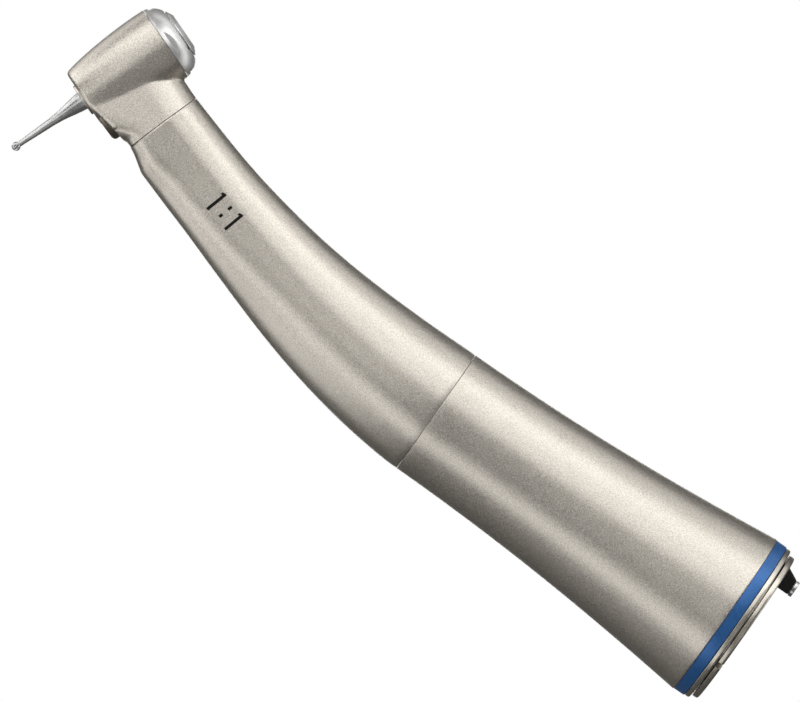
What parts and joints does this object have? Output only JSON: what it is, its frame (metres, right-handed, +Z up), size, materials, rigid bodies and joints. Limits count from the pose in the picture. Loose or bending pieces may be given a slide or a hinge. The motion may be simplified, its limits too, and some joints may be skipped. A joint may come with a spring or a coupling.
{
  "type": "contra-angle dental handpiece",
  "caption": "Direct-drive contra-angle dental handpiece with push-button chuck, round bur, light guide, spray and a motor coupling socket.",
  "frame": {"origin": "centre of the rear face, on the axis of the motor coupling", "axes": "+X out of the rear towards the motor, +Z up away from the bur tip, +Y to the side; the plane y = 0 is the symmetry plane"},
  "size_m": [0.1032, 0.0208, 0.0305],
  "materials": {
    "satin_titanium": "fine blasted satin, warm champagne grey titanium coat",
    "satin_ring_metal": "turned satin",
    "blue_ring": "anodised blue, semi-gloss",
    "polished_steel": "polished",
    "machined_steel": "turned",
    "hardened_steel": "ground",
    "spring_steel": "drawn wire",
    "bearing_cage": "machined, with steel balls",
    "nozzle_metal": "dark satin",
    "black_polymer": "moulded, matt",
    "optic_glass": "polished"
  },
  "bodies": {
    "housing": {"grip_sleeve": "satin_titanium", "neck_sleeve": "satin_titanium", "head_housing": "satin_titanium", "rear_flange": "satin_ring_metal", "end_ring": "satin_ring_metal", "ratio_ring": "blue_ring", "head_cap": "polished_steel", "lower_bearing_cover": "polished_steel", "light_guide_ferrule": "polished_steel", "coupling_sleeve": "machined_steel", "sleeve_joint_ring": "machined_steel", "mid_frame": "machined_steel", "rear_gear_case": "machined_steel", "front_gear_case": "machined_steel", "rear_plate": "machined_steel", "front_plate": "machined_steel", "water_tube": "machined_steel", "air_tube": "machined_steel", "rear_shaft_rear_bearing_outer_race": "hardened_steel", "rear_shaft_front_bearing_outer_race": "hardened_steel", "front_shaft_rear_bearing_outer_race": "hardened_steel", "front_shaft_front_bearing_outer_race": "hardened_steel", "lower_head_bearing_outer_race": "hardened_steel", "upper_head_bearing_outer_race": "hardened_steel", "button_spring": "spring_steel", "motor_lock_ring": "spring_steel", "spray_light_nozzle": "nozzle_metal", "light_guide_holder": "black_polymer", "light_guide_rod": "optic_glass", "light_window": "optic_glass"},
    "button": {"push_button": "polished_steel"},
    "rear_shaft": {"rear_shaft": "hardened_steel", "drive_dog": "hardened_steel", "rear_bend_gear": "hardened_steel", "rear_shaft_rear_bearing_inner_race": "hardened_steel", "rear_shaft_front_bearing_inner_race": "hardened_steel"},
    "front_shaft": {"front_shaft": "hardened_steel", "front_bend_gear": "hardened_steel", "head_pinion": "hardened_steel", "front_shaft_rear_bearing_inner_race": "hardened_steel", "front_shaft_front_bearing_inner_race": "hardened_steel"},
    "spindle": {"spindle_tube": "machined_steel", "spindle_gear": "hardened_steel", "chuck_collet": "hardened_steel", "lower_head_bearing_inner_race": "hardened_steel", "upper_head_bearing_inner_race": "hardened_steel"},
    "bur": {"bur": "polished_steel"},
    "rear_shaft_rear_bearing_balls": {"rear_shaft_rear_bearing_ball_cage": "bearing_cage"},
    "rear_shaft_front_bearing_balls": {"rear_shaft_front_bearing_ball_cage": "bearing_cage"},
    "front_shaft_rear_bearing_balls": {"front_shaft_rear_bearing_ball_cage": "bearing_cage"},
    "front_shaft_front_bearing_balls": {"front_shaft_front_bearing_ball_cage": "bearing_cage"},
    "lower_head_bearing_balls": {"lower_head_bearing_ball_cage": "bearing_cage"},
    "upper_head_bearing_balls": {"upper_head_bearing_ball_cage": "bearing_cage"}
  },
  "joints": [
    {"name": "rear_shaft_spin", "type": "hinge", "parent": "housing", "child": "rear_shaft", "pos_m": [-0.0612, 0, 0], "axis": [1, 0, 0], "continuous": true},
    {"name": "front_shaft_spin", "type": "hinge", "parent": "housing", "child": "front_shaft", "pos_m": [-0.0612, 0, 0], "axis": [0.9367, 0, -0.3502], "continuous": true},
    {"name": "spindle_spin", "type": "hinge", "parent": "housing", "child": "spindle", "pos_m": [-0.09483, 0, 0.01257], "axis": [0.3502, 0, 0.9367], "continuous": true},
    {"name": "button_press", "type": "slide", "parent": "housing", "child": "button", "axis": [-0.3502, 0, -0.9367], "range_m": [0, 0.0006], "stiffness_N_per_m": 1500, "springref_m": -0.0004, "deforming": ["button_spring"]},
    {"name": "bur_withdraw", "type": "slide", "parent": "spindle", "child": "bur", "axis": [-0.3502, 0, -0.9367], "range_m": [0, 0.0125]},
    {"name": "rear_shaft_rear_bearing_roll", "type": "hinge", "parent": "housing", "child": "rear_shaft_rear_bearing_balls", "pos_m": [-0.0612, 0, 0], "axis": [1, 0, 0], "continuous": true},
    {"name": "rear_shaft_front_bearing_roll", "type": "hinge", "parent": "housing", "child": "rear_shaft_front_bearing_balls", "pos_m": [-0.0612, 0, 0], "axis": [1, 0, 0], "continuous": true},
    {"name": "front_shaft_rear_bearing_roll", "type": "hinge", "parent": "housing", "child": "front_shaft_rear_bearing_balls", "pos_m": [-0.0612, 0, 0], "axis": [0.9367, 0, -0.3502], "continuous": true},
    {"name": "front_shaft_front_bearing_roll", "type": "hinge", "parent": "housing", "child": "front_shaft_front_bearing_balls", "pos_m": [-0.0612, 0, 0], "axis": [0.9367, 0, -0.3502], "continuous": true},
    {"name": "lower_head_bearing_roll", "type": "hinge", "parent": "housing", "child": "lower_head_bearing_balls", "pos_m": [-0.09483, 0, 0.01257], "axis": [0.3502, 0, 0.9367], "continuous": true},
    {"name": "upper_head_bearing_roll", "type": "hinge", "parent": "housing", "child": "upper_head_bearing_balls", "pos_m": [-0.09483, 0, 0.01257], "axis": [0.3502, 0, 0.9367], "continuous": true}
  ],
  "couplings": [
    {"joint": "front_shaft_spin", "follows": "rear_shaft_spin", "ratio": 1},
    {"joint": "spindle_spin", "follows": "rear_shaft_spin", "ratio": 1},
    {"joint": "rear_shaft_rear_bearing_roll", "follows": "rear_shaft_spin", "ratio": 0.385},
    {"joint": "rear_shaft_front_bearing_roll", "follows": "rear_shaft_spin", "ratio": 0.385},
    {"joint": "front_shaft_rear_bearing_roll", "follows": "rear_shaft_spin", "ratio": 0.383},
    {"joint": "front_shaft_front_bearing_roll", "follows": "rear_shaft_spin", "ratio": 0.383},
    {"joint": "lower_head_bearing_roll", "follows": "rear_shaft_spin", "ratio": 0.416},
    {"joint": "upper_head_bearing_roll", "follows": "rear_shaft_spin", "ratio": 0.416}
  ]
}
